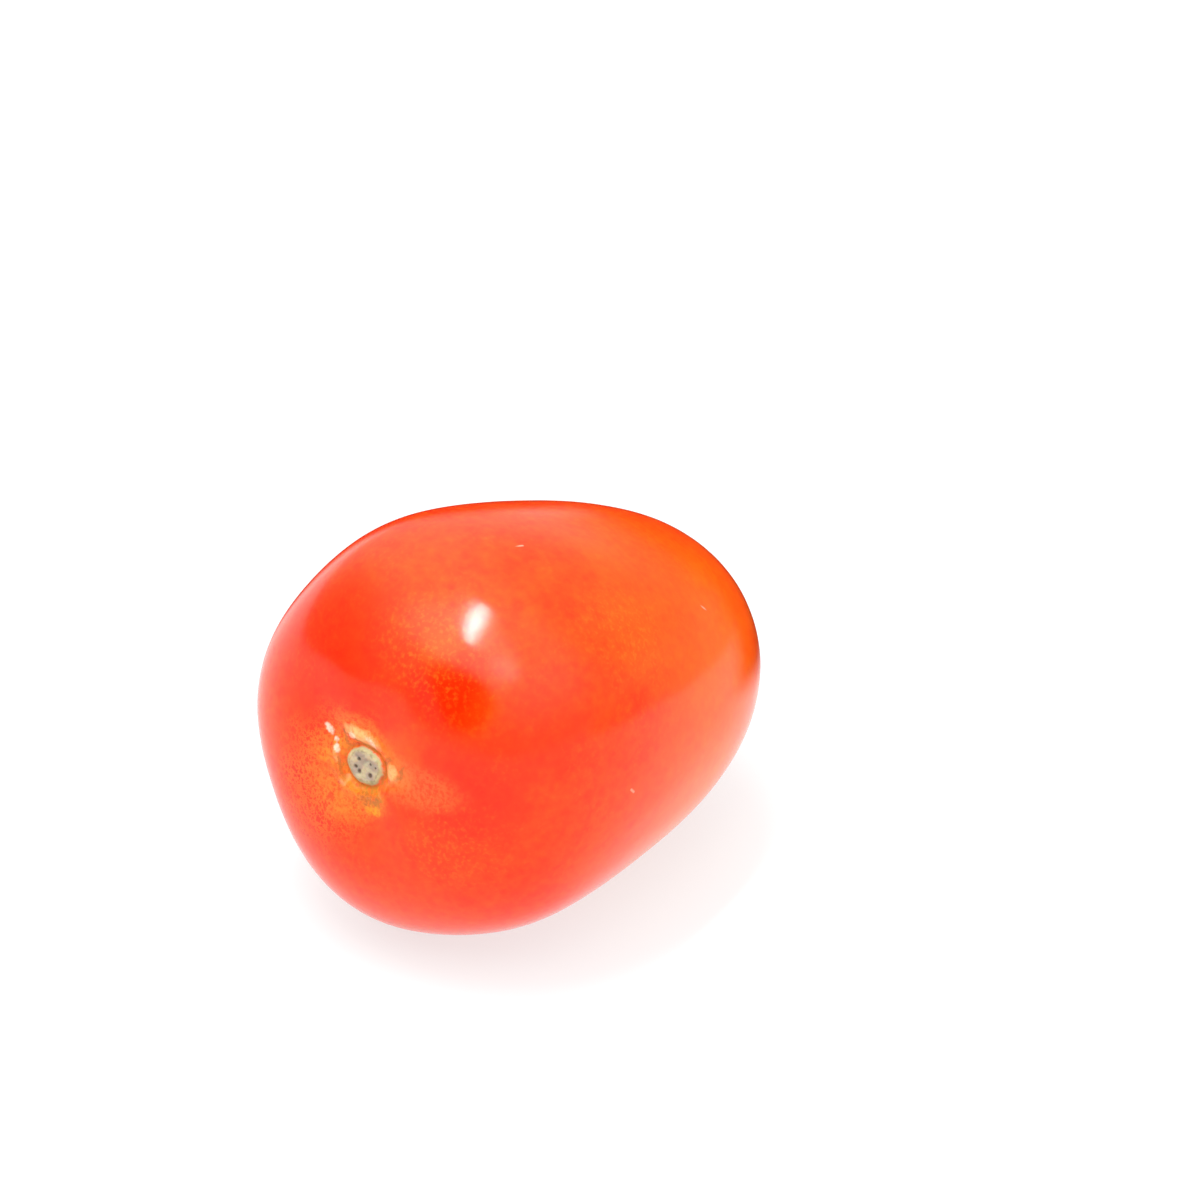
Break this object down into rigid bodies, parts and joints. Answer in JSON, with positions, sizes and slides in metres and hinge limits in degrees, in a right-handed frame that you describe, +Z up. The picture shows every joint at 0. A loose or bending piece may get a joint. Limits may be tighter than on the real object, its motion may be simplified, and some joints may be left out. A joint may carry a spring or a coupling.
{
  "type": "plum tomato",
  "caption": "Ripe plum tomato with a corky stem scar in a shallow hollow and a blunt blossom end, lying on its side as fresh produce.",
  "frame": {"origin": "on the flat spot that the fruit rests on, straight under its centre of mass", "axes": "+Z up, X along the fruit's length with the stem end towards -X and the blossom end towards +X"},
  "size_m": [0.0654, 0.05, 0.0522],
  "materials": {
    "skin": "smooth ripe tomato skin with a soft gloss, and a small dry corky scar at the stem end"
  },
  "bodies": {
    "root": {"tomato": "skin"}
  },
  "joints": []
}
